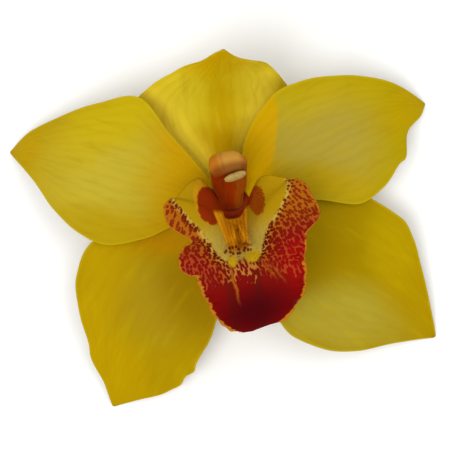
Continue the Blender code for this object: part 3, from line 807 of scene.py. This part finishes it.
# Marks on the face: the middle, radii, turn and softness of each ellipse
lipMarks = {
    "bright": ((14.2, -16.6), (4.0, 5.6), 0.0, 0.6),
    "maroon": ((2.0, -27.4), (8.0, 5.0), 6.0, 0.8),
    "streak": ((-5.0, -19.4), (0.4, 4.0), 0.0, 0.7),
    "firstShortStreak": ((-2.2, -17.6), (0.4, 2.4), 0.0, 0.7),
    "secondShortStreak": ((-2.6, -18.8), (0.35, 2.2), 0.0, 0.7),
    "leftPatch": ((-5.4, 0.1), (3.0, 5.0), 6.0, 0.07),
    "rightPatch": ((6.1, -0.2), (2.2, 3.9), 4.0, 0.1),
    "middlePatch": ((-0.4, 1.6), (6.0, 4.6), 0.0, 0.1),
    "fold": ((-5.6, 1.2), (3.5, 6.2), 6.0, 0.06),
    "brownFoot": ((0.0, -11.6), (2.9, 1.8), 0.0, 0.6),
    "spottedFoot": ((0.0, -12.0), (4.0, 1.6), 0.0, 0.3),
    "leftBlob": ((-1.8, -14.6), (1.1, 1.4), 0.0, 0.25),
    "rightBlob": ((3.3, -14.0), (1.8, 1.3), 10.0, 0.25),
}


def lipPlaces(finish):
    # the coordinates that the lip's patterns are drawn on, plain ones and ones that wander a little
    at = SimpleNamespace()
    at.side, at.front = finish.split(finish.attribute("share"))[1:]
    at.run, at.reach, at.margin = finish.split(finish.attribute("place"))
    at.face = finish.attribute("face")
    at.plainX, at.plainY = finish.split(at.face)[:2]
    at.warp = finish.clouds(at.face, 0.35) - 0.5
    at.fine = finish.clouds(at.face, 1.5) - 0.5
    at.x = at.plainX + at.warp * 1.6 + at.fine * 0.5
    at.y = at.plainY + at.warp * 1.2 - at.fine * 0.5
    outRight = at.x - finish.curve(at.plainY, -18.0, 6.0, spotsFromRight)
    outLeft = 0.0 - finish.curve(at.plainY, -18.0, 8.0, spotsFromLeft) - at.x
    at.outside = outRight.most(outLeft)
    return at


def lipSpots(finish, at):
    # spots on the side lobes that run together into the red of the front lobe: one net of cells
    # goes across the flanks, and one is drawn out down the front lobe
    look = lipLook
    x, y, outside, fine = at.x, at.y, at.outside, at.fine
    flank = finish.join(at.reach * 0.75 + at.warp * 0.9, at.run + fine * 0.9, 0.0)
    front = finish.join(at.reach + fine * 0.5, at.run * 0.5 + at.warp * 0.5, 0.0)
    down = (y + x.size() * 0.22).between(-12.2, -14.8)
    away = finish.cells(flank, look["cells"], look["scatter"]) * (1 - down)
    away = away + finish.cells(front, look["cells"], look["scatter"]) * down
    ripe = (y - x * 0.1).between(-3.5, -12.5)
    solid = (y + x.size() * 0.1).between(-16.5, -24.0)
    size = x.between(0.0, 10.0) * 0.03 - (y - x * 0.1).between(-4.0, 1.0) * look["topSpots"]
    size = size + look["spotSize"]
    size = size + x.between(-8.0, -11.0) * (look["leftSpots"] - y.between(-9.0, -12.0) * look["bumpSpots"])
    size = size + ripe * look["ripeSpots"] + solid * look["solidSpots"] - down * 0.04
    dots = (size - away).between(-0.05, 0.07)
    ground = finish.layers(look, look["cream"], (
        (outside.between(0.0, 1.7), "orange"),
        (ripe * outside.between(1.5, 5.0), "coral"),
        (down * 0.6, "coral"),
    ))
    dotColour = finish.layers(look, finish.mix(ripe, look["spot"], look["flank"]), (
        (solid, "red"),
        (outside.within(0.9, 1.8) * 0.65, "darkSpot"),
        (finish.blob(x, y, *lipMarks["bright"]), "bright"),
        (finish.blob(x, y, *lipMarks["maroon"]), "maroon"),
    ))
    return finish.mix(dots, ground, dotColour), dots, down, ripe


def lipThroat(finish, at, colour):
    # dark red-brown patches each side of the column, the left and middle ones partly painted shade of the
    # throat, with a painted highlight along the outer edge of the left one
    x, y, look = at.x, at.y, lipLook
    leftPatch = finish.blob(x, y, *lipMarks["leftPatch"])
    rightPatch = finish.blob(x + at.fine * 1.2, y, *lipMarks["rightPatch"])
    # the band of this ellipse left outside the left patch is a painted highlight
    fold = finish.blob(at.plainX, at.plainY, *lipMarks["fold"]) * y.between(-3.5, -1.5)
    cells = finish.cells(finish.join(at.reach * 1.4, at.run, 0.0), look["cells"], look["scatter"])
    return finish.layers(look, colour, (
        (fold * 0.8, "fold"),
        (rightPatch, "patch"),
        (rightPatch * cells.between(0.42, 0.3) * x.between(5.6, 7.0) * 0.7, "spot"),
        (leftPatch.most(finish.blob(x, y, *lipMarks["middlePatch"])), throatColour),
    ))


def lipCallus(finish, at, colour):
    # golden ridges with brown grooves, a spotted foot and two yellow ends
    x, y, plainX, plainY, look = at.x, at.y, at.plainX, at.plainY, lipLook
    acrossRidges = (plainX + 0.4 + (plainY + 3.0) * 0.07) / (1.0 + (plainY + 3.0) * 0.045)
    lines = (acrossRidges * (pi / lip["ridgeSpacing"]) + at.warp * 1.5).sine().size()
    lines = lines + at.fine * 0.9
    ridges = finish.mix(lines.between(-0.1, 0.7) * 0.8 + 0.2, look["groove"], look["callus"])
    ridges = finish.mix(y.between(-9.0, -12.0) * 0.7, ridges, look["patch"])
    cells = finish.cells(finish.join(plainX, plainY * 0.8, 0.0), look["footCells"], look["scatter"])
    foot = finish.blob(x, y, *lipMarks["spottedFoot"]) * (0.36 - cells).between(-0.05, 0.08)
    ends = finish.blob(x, y, *lipMarks["leftBlob"]).most(finish.blob(x, y, *lipMarks["rightBlob"]))
    return finish.layers(look, colour, (
        (acrossRidges.size().between(4.3, 3.7) * y.between(-12.6, -11.4) * y.between(-1.0, -2.6), ridges),
        (finish.blob(x, y, *lipMarks["brownFoot"]) * 0.5, "patch"),
        (foot * 0.9, "darkSpot"),
        (ends, "blob"),
    ))


def lipFinish():
    look = lipLook
    finish = Finish("lip flesh")
    at = lipPlaces(finish)
    x, y, outside = at.x, at.y, at.outside
    arms = finish.mix((y + x.size() * 0.12).between(-10.5, -1.5), look["cream"], look["gold"])
    spotted, dots, down, ripe = lipSpots(finish, at)
    lobes = outside.between(-0.5, 0.3).most(y.between(-13.4, -15.0))
    short = finish.blob(x + y * 0.5, y, *lipMarks["firstShortStreak"])
    short = short.most(finish.blob(x + y * 0.6, y, *lipMarks["secondShortStreak"]))
    streaks = (finish.blob(x + y * 0.14, y, *lipMarks["streak"]) * 0.8).most(short * 0.35)
    colour = finish.layers(look, arms, ((lobes, spotted), (streaks, look["orange"])))
    colour = lipCallus(finish, at, lipThroat(finish, at, colour))

    # a thin scalloped margin, the plainer back, and the foot painted in the throat's colour as shade of the
    # deep throat
    teeth = finish.drawnOut(at.run * 1.5, at.side, 2.0, 1.6) - 0.5
    rim = (down * 0.5 + 0.4 + teeth * 1.7 - at.margin).between(-0.15, 0.2) * outside.between(-1.5, 1.0)
    back = finish.mix(lobes * (ripe * 0.4 + 0.4), look["back"], look["backRed"])
    colour = finish.layers(look, colour, (
        (rim * 0.85, "margin"),
        ((1 - at.front).between(0.35, 0.65), back),
        (at.run.between(0.5, 0.15), throatColour),
    ))
    velvet = finish.clouds(at.face, 9.0, 2.0)
    veins = (at.side * 60.0 + at.warp * 8.0).sine() * 0.5 + 0.5
    return finish.flesh(look, colour, velvet * 0.15, velvet * 0.7 + veins * 0.3 + dots * 0.3)


def makeLip():
    sides = lipSides()
    piece = sheetPiece("lip_flesh", lipGrid(sides), sides, lip["length"], lipWidth, lipFlesh, lipFinish())
    handOver(piece, "lip")
    return piece


lipPiece = makeLip()
print("lip done")


# The lip's down: short hairs on the callus and the floor around it, scattered by a node tree. They
# carry the lip's own finish, and take its colour from the spot that they stand on.

down = {
    "perSquareMetre": 1.6e7, "seed": 7, "length": 0.34, "width": 0.09, "sunk": 0.04, "sides": 5,
    "tilt": 0.45, "leastSize": 0.6, "mostSize": 1.2,
    "halfWidth": 5.2, "from": 2.0, "fadeIn": 4.0, "to": 25.0, "fadeOut": 5.0,
}


def downGround(carrier):
    # a copy of the lip that says how thick the down is at each point of its face
    ground = carrier.data.copy()
    thick = []
    for place, share in zip(ground.attributes["place"].data, ground.attributes["share"].data):
        run, reach = place.vector[:2]
        near = ease((run - down["from"]) / down["fadeIn"]) * ease((down["to"] - run) / down["fadeOut"])
        near *= hump(reach, down["halfWidth"])
        thick.append(near * ease(share.vector[2] * 2 - 1))
    ground.attributes.new("thick", "FLOAT", "POINT").data.foreach_set("value", thick)
    return newObject("down ground", ground)


def makeDown(carrier):
    settings = {
        "Density": down["perSquareMetre"], "Length": down["length"] * millimetre,
        "Width": down["width"] * millimetre, "Sides": down["sides"],
        "Tilt": (down["tilt"], down["tilt"], pi), "Seed": down["seed"],
        "Least Size": down["leastSize"], "Most Size": down["mostSize"],
    }
    tree = nodeTree("lip down", settings)
    graph = Graph(tree)
    given = graph.inputs.outputs
    density = graph.maths("MULTIPLY", graph.named("thick"), given["Density"])
    spots = graph.add("GeometryNodeDistributePointsOnFaces", {
        "Mesh": given["Geometry"], "Density": density, "Seed": given["Seed"]})
    hair = graph.first("GeometryNodeMeshCone", {
        "Vertices": given["Sides"], "Radius Top": 0.0, "Radius Bottom": given["Width"],
        "Depth": given["Length"]})
    sunk = (0, 0, -down["sunk"] * millimetre)
    hair = graph.first("GeometryNodeTransform", {"Geometry": hair, "Translation": sunk})
    back = graph.scale(given["Tilt"], -1.0)
    leaning = graph.first("FunctionNodeRandomValue", {
        0: back, 1: given["Tilt"], "Seed": given["Seed"]}, data_type="FLOAT_VECTOR")
    leaning = graph.first("FunctionNodeEulerToRotation", {0: leaning})
    way = graph.first("FunctionNodeRotateRotation", {
        0: spots["Rotation"], 1: leaning}, rotation_space="LOCAL")
    size = graph.add("FunctionNodeRandomValue", {
        2: given["Least Size"], 3: given["Most Size"], "Seed": given["Seed"]}, data_type="FLOAT")[1]
    hairs = graph.first("GeometryNodeInstanceOnPoints", {
        "Points": spots["Points"], "Instance": hair, "Rotation": way, "Scale": size})
    finish = carrier.data.materials[0]
    graph.close(hairs, finish)
    handOver(growMesh("lip_down", downGround(carrier), tree, settings, finish), None)


makeDown(lipPiece)
print("down done")


# The column: rounded back, winged belly with a hollow, nodding tip

column = {
    "base": (0, 0.2, 0.3), "length": 27.5, "rings": 72, "sides": 64, "crowding": 1.35,
    "yaw": ((0, 4), (0.6, 3), (1, -8)), "lean": ((0, 41), (0.5, 26), (0.8, -3), (1, -64)),
    "halfWidth": ((0, 3.1), (0.1, 3.3), (0.25, 4.3), (0.4, 4.6), (0.84, 4.8), (0.95, 4.6), (1, 4)),
    "back": ((0, 2.4), (0.5, 2.6), (0.8, 2.7), (0.93, 2.5), (1, 2)),
    "wings": ((0, 2.2), (0.4, 2), (0.75, 2.6), (1, 2)),
    "hollow": ((0, 0), (0.3, 1.4), (0.7, 2.2), (0.86, 2), (0.96, 0.3), (1, 0)),
    "hollowSharpness": 3, "wingBluntness": 0.7,
    "boxiness": ((0.55, 1), (0.75, 0.6), (1, 0.66)),
    "taperLeft": ((0.55, 0), (0.75, 0.08), (1, 0.06)), "taperRight": ((0.55, 0), (0.75, 0.4), (1, 0.3)),
}
# the darkest colour serves both the belly's dark stripes and the painted shadow at the tip's end
columnLook = {
    "belly": (146, 47, 1), "bellyRight": (152, 74, 6), "edge": (190, 122, 14), "tipSide": (178, 104, 14),
    "tip": (190, 136, 52), "seam": (160, 84, 16), "lipEdge": (150, 78, 10), "slit": (96, 34, 4),
    "back": (176, 130, 16), "gloss": 0.06, "roughness": 0.42, "relief": 0.06,
}


def columnFrames():
    # share, middle point and the ways ahead and to the back of each ring
    point = Vector(column["base"])
    count = column["rings"]
    shares = [1 - (1 - ring / count) ** column["crowding"] for ring in range(count + 1)]
    frames = []
    for share, following in zip(shares, shares[1:] + [1.0]):
        uphill = bearing(90 - readStops(column["yaw"], share), 0)
        lean = radians(readStops(column["lean"], share) * ease(share * 12))
        ahead = uphill * sin(lean) + faceNormal * cos(lean)
        back = uphill * cos(lean) - faceNormal * sin(lean)
        frames.append((share, point.copy(), ahead, back))
        lean = radians(readStops(column["lean"], (share + following) / 2))
        stride = column["length"] * (following - share)
        point += (uphill * sin(lean) + faceNormal * cos(lean)) * stride
    return frames


def columnFinish():
    look = columnLook
    finish = Finish("column flesh")
    share, side, back = finish.split(finish.attribute("share"))
    face = finish.attribute("face")
    soft = finish.clouds(face, 0.5) - 0.5
    fine = finish.clouds(face, 3.0)
    streaks = finish.drawnOut(side * 3.0, share * 2.5, 0.0, 2.2)
    belly = finish.mix((side + soft * 0.3).between(0.1, 0.5), look["belly"], look["bellyRight"])
    belly = finish.mix(streaks.between(0.5, 0.72) * 0.55, belly, look["slit"])
    tip = finish.layers(look, look["tipSide"], (
        ((side + soft * 0.3).between(-0.65, -0.25), "tip"),
        ((side + soft * 0.1).within(-0.3, 0.14) * 0.4, "seam"),
        (side.between(0.55, 0.95) * 0.8, "lipEdge"),
        # the band at the tip's end is painted shadow of the gap under the anther cap
        (share.between(0.93, 0.99) * 0.75, "slit"),
    ))
    backColour = finish.mix((share + soft * 0.1).between(0.52, 0.66), look["back"], tip)
    wingEdge = (side + (back - 0.5) * 0.2).between(0.9, 0.97) * share.between(0.75, 0.66)
    colour = finish.layers(look, belly, (
        ((back + soft * 0.15).between(0.32, 0.6), backColour),
        (wingEdge * 0.8, "edge"),
    ))
    return finish.flesh(look, colour, fine * 0.16, fine + streaks)


def makeColumn():
    rings, shares = [], []
    for share, point, ahead, back in columnFrames():
        ring, held = [], []
        for i in range(column["sides"]):
            angle = -2 * pi * i / column["sides"]
            aside, lift = cos(angle), sin(angle)
            half = readStops(column["halfWidth"], share)
            if lift >= 0:
                boxy = readStops(column["boxiness"], share)
                taper = readStops(column["taperRight" if aside > 0 else "taperLeft"], share)
                aside = copysign(abs(aside) ** boxy, aside) * (1 - taper * abs(lift) ** boxy)
                depth = readStops(column["back"], share) * abs(lift) ** boxy
            else:
                depth = readStops(column["hollow"], share) * abs(lift) ** column["hollowSharpness"]
                depth -= readStops(column["wings"], share) * abs(lift) ** column["wingBluntness"]
            ring.append(point + back.cross(ahead) * half * aside + back * depth)
            held.append((share, aside, (1 + lift) / 2))
        rings.append(ring)
        shares.append(held)
    piece = loftMesh("column_flesh", rings, {"share": shares}, columnFinish())
    handOver(piece, "column")


makeColumn()
print("column done")


# The anther cap: a grooved bead of wax at the column's tip

anther = {
    "halfLength": 2.8, "halfDepth": 1.4, "halfThickness": 0.95, "aside": 0.85, "towardsBelly": 0.4,
    "tiltDeg": 8, "groove": 0.07, "grooveWidth": 0.22, "bluntness": 0.8, "end": 0.985, "gap": 0.3,
    "rings": 48, "sides": 40,
}
antherLook = {
    "wax": (160, 134, 72), "stain": (140, 102, 44), "end": (182, 142, 60), "groove": (160, 110, 50),
    "gloss": 0.2, "roughness": 0.36, "relief": 0.08,
}


def capFinish():
    look = antherLook
    finish = Finish("anther cap wax")
    fine = finish.clouds(finish.attribute("face"), 1.6)
    share = finish.split(finish.attribute("share"))[0]
    colour = finish.layers(look, look["wax"], (
        (fine.between(0.4, 0.7) * 0.5, "stain"),
        (share.between(0.45, 0.0) * 0.4, "end"),
        (share.within(0.5, 0.07) * 0.45, "groove"),
    ))
    return finish.flesh(look, colour, fine * 0.15, fine)


def makeCap():
    tip, ahead, back = columnFrames()[-1][1:]
    tilt = radians(anther["tiltDeg"])
    aside = back.cross(ahead)
    axis = aside * cos(tilt) + back * sin(tilt)
    depthWay = ahead.cross(axis)
    middle = tip + aside * anther["aside"] - back * anther["towardsBelly"]
    middle += ahead * (anther["gap"] + anther["halfThickness"])
    rings, shares = [], []
    for k in range(anther["rings"] + 1):
        share = k / anther["rings"]
        along = cos(pi * (1 - share)) * anther["end"]
        size = sqrt(1 - along * along) ** anther["bluntness"]
        size *= 1 - anther["groove"] * hump(along, anther["grooveWidth"])
        ring = []
        for i in range(anther["sides"]):
            angle = -2 * pi * i / anther["sides"]
            spoke = depthWay * anther["halfDepth"] * cos(angle)
            spoke += ahead * anther["halfThickness"] * sin(angle)
            ring.append(middle + axis * anther["halfLength"] * along - spoke * size)
        rings.append(ring)
        shares.append([(share, i / anther["sides"], 0) for i in range(anther["sides"])])
    piece = loftMesh("anther_cap_wax", rings, {"share": shares}, capFinish())
    handOver(piece, "anther_cap")


makeCap()
print("anther cap done")


# The flower stalk: ovary neck, bend and pedicel, swept along a path by a node tree

stalk = {
    "neck": ((0, 5.2), (0.9, 5.1), (1.7, 4.6), (2.6, 3.7), (3.4, 3.0)), "ribsFrom": 4,
    "radius": ((0, 2.9), (0.15, 2.8), (0.4, 2.6), (0.7, 2.1), (1, 1.9)),
    "bendEnd": 0.33, "run": 19, "neckSteps": 14, "bendSteps": 30, "runSteps": 44, "sides": 72,
    "ribs": 6, "ribHeight": 0.28,
}
stalkLook = {
    "neck": (172, 152, 26), "skin": (138, 146, 40), "streak": (108, 118, 26), "freckle": (120, 96, 30),
    "cut": (186, 182, 110), "gloss": 0.05, "roughness": 0.42, "relief": 0.05,
}


def stalkPath():
    # middle point, radius and height of the ribs, as a share, of each step
    steps = []
    neckDepth = stalk["neck"][-1][0]
    for k in range(stalk["neckSteps"]):
        depth = neckDepth * k / stalk["neckSteps"]
        radius = readStops(stalk["neck"], depth)
        steps.append((Vector((0, 0, -depth)), radius, ease(depth / stalk["ribsFrom"])))
    bendRadius = lie["centre"][2] - neckDepth - readStops(stalk["radius"], stalk["bendEnd"])
    bend = bendRadius * pi / 2
    whole = bend + stalk["run"]
    for k in range(stalk["bendSteps"] + 1):
        turn = pi / 2 * k / stalk["bendSteps"]
        share = bend * k / stalk["bendSteps"] / whole
        point = Vector((0, -bendRadius * (1 - cos(turn)), -neckDepth - bendRadius * sin(turn)))
        steps.append((point, readStops(stalk["radius"], share), 1 - ease(share)))
    for k in range(1, stalk["runSteps"] + 1):
        share = (bend + stalk["run"] * k / stalk["runSteps"]) / whole
        radius = readStops(stalk["radius"], share)
        point = Vector((0, -bendRadius - stalk["run"] * k / stalk["runSteps"], radius - lie["centre"][2]))
        steps.append((point, radius, 1 - ease(share)))
    return steps


def stalkFinish():
    look = stalkLook
    finish = Finish("stalk skin")
    share, angle = finish.split(finish.attribute("share"))[:2]
    place = finish.node("ShaderNodeTexCoord", None, (), ("Object",))
    fine = finish.clouds(place, 900.0)
    streaks = finish.drawnOut(share * 4.0, angle * 30.0, 1.0)
    colour = finish.layers(look, look["neck"], (
        (share.between(0.0, 0.4), "skin"),
        (streaks.between(0.4, 0.7) * 0.4, "streak"),
        (fine.between(0.6, 0.75) * 0.25, "freckle"),
        (share.between(0.992, 1.0), "cut"),
        # the flat top, deep in the throat, is painted in the throat's colour as shade
        (share.between(0.014, 0.004), throatColour),
    ))
    return finish.flesh(look, colour, fine * 0.15, streaks + fine * 0.4)


def stalkHost():
    # the path as a mesh that says how thick and how ribbed the stalk is along it
    points, radii, ribs = zip(*stalkPath())
    path = bpy.data.meshes.new("stalk path")
    path.from_pydata([toFrame(point) for point in points], [(k, k + 1) for k in range(len(points) - 1)], [])
    for key, held in (("thick", radii), ("ribbed", ribs)):
        path.attributes.new(key, "FLOAT", "POINT").data.foreach_set("value", held)
    return newObject("stalk path", path)


def makeStalk():
    settings = {
        "Sides": stalk["sides"], "Ribs": float(stalk["ribs"]), "Rib Height": stalk["ribHeight"] * millimetre}
    tree = nodeTree("ribbed stalk", settings)
    graph = Graph(tree)
    given = graph.inputs.outputs
    along = graph.add("GeometryNodeSplineParameter")["Factor"]
    curve = graph.first("GeometryNodeMeshToCurve", {"Mesh": given["Geometry"]})
    curve = graph.store(curve, "stalkShare", along)
    curve = graph.first("GeometryNodeSetCurveNormal", {0: curve}, mode="Z_UP")
    profile = graph.first("GeometryNodeCurvePrimitiveCircle", {
        "Resolution": given["Sides"], "Radius": millimetre})
    profile = graph.store(profile, "stalkTurn", graph.maths("MULTIPLY", along, 2 * pi))
    tube = graph.first("GeometryNodeCurveToMesh", {
        "Curve": curve, "Profile Curve": profile, "Scale": graph.named("thick"), "Fill Caps": True})
    lobed = graph.maths("COSINE", graph.maths("MULTIPLY", graph.named("stalkTurn"), given["Ribs"]))
    dip = graph.maths("MULTIPLY", given["Rib Height"], -0.5)
    dip = graph.maths("MULTIPLY", graph.maths("ADD", lobed, 1.0), dip)
    dip = graph.maths("MULTIPLY", dip, graph.named("ribbed"))
    push = graph.scale(graph.first("GeometryNodeInputNormal"), dip)
    tube = graph.first("GeometryNodeSetPosition", {"Geometry": tube, "Offset": push})
    tube = graph.first("GeometryNodeSetShadeSmooth", {"Geometry": tube})
    finish = stalkFinish()
    graph.close(tube, finish)
    piece = growMesh("flower_stalk_skin", stalkHost(), tree, settings, finish)

    # the finish reads the shares along and around the stalk as one vector
    shares, turns = ([value.value for value in piece.data.attributes[key].data]
                     for key in ("stalkShare", "stalkTurn"))
    packed = [part for share, turn in zip(shares, turns) for part in (share, turn / (2 * pi), 0.0)]
    piece.data.attributes.new("share", "FLOAT_VECTOR", "POINT").data.foreach_set("vector", packed)
    handOver(piece, "flower_stalk")


makeStalk()
print("stalk done")


# Floor, light and camera

studio = {
    "floorSize": 1.6, "floor": (246, 246, 245), "grain": (236, 236, 234), "worldStrength": 0.75,
    "lights": (("key", (-0.25, -0.2, 0.8), 0.5, 3.2), ("fill", (0.35, 0.2, 0.7), 0.6, 1.6)),
}
camera = {"height": 0.520, "lens": 158.15, "sensor": 36.0, "aside": (0.558, 2.547)}


def makeStudio():
    half = studio["floorSize"] / 2
    level = cadBox[0][2]
    corners = [(-half, -half, level), (half, -half, level), (half, half, level), (-half, half, level)]
    mesh = bpy.data.meshes.new("floor")
    mesh.from_pydata(corners, [], [(0, 1, 2, 3)])
    finish = Finish("pale floor")
    place = finish.node("ShaderNodeTexCoord", None, (), ("Object",))
    colour = finish.mix(finish.clouds(place, 30.0, 2.0) * 0.06, studio["floor"], studio["grain"])
    constants = {"Roughness": 0.9, "Specular IOR Level": 0.1}
    mesh.materials.append(finish.finishWith(constants, {"Base Color": colour}))
    newObject("floor", mesh)
    for name, place, size, power in studio["lights"]:
        light = bpy.data.lights.new(name, "AREA")
        light.shape = "DISK"
        light.size = size
        light.energy = power
        lamp = newObject(name, light)
        lamp.location = place
        lamp.rotation_euler = (-Vector(place)).to_track_quat("-Z", "Y").to_euler()
    world = bpy.data.worlds.new("soft room")
    world.use_nodes = True
    background = world.node_tree.nodes["Background"]
    background.inputs["Color"].default_value = (1, 1, 1, 1)
    background.inputs["Strength"].default_value = studio["worldStrength"]
    bpy.context.scene.world = world
    bpy.context.scene.view_settings.view_transform = "Standard"


def makeCamera():
    view = bpy.data.cameras.new("camera")
    view.lens = camera["lens"]
    view.sensor_width = camera["sensor"]
    eye = newObject("camera", view)
    eye.location = (camera["aside"][0] * millimetre, camera["aside"][1] * millimetre, camera["height"])
    bpy.context.scene.camera = eye


makeStudio()
makeCamera()
print("studio done")
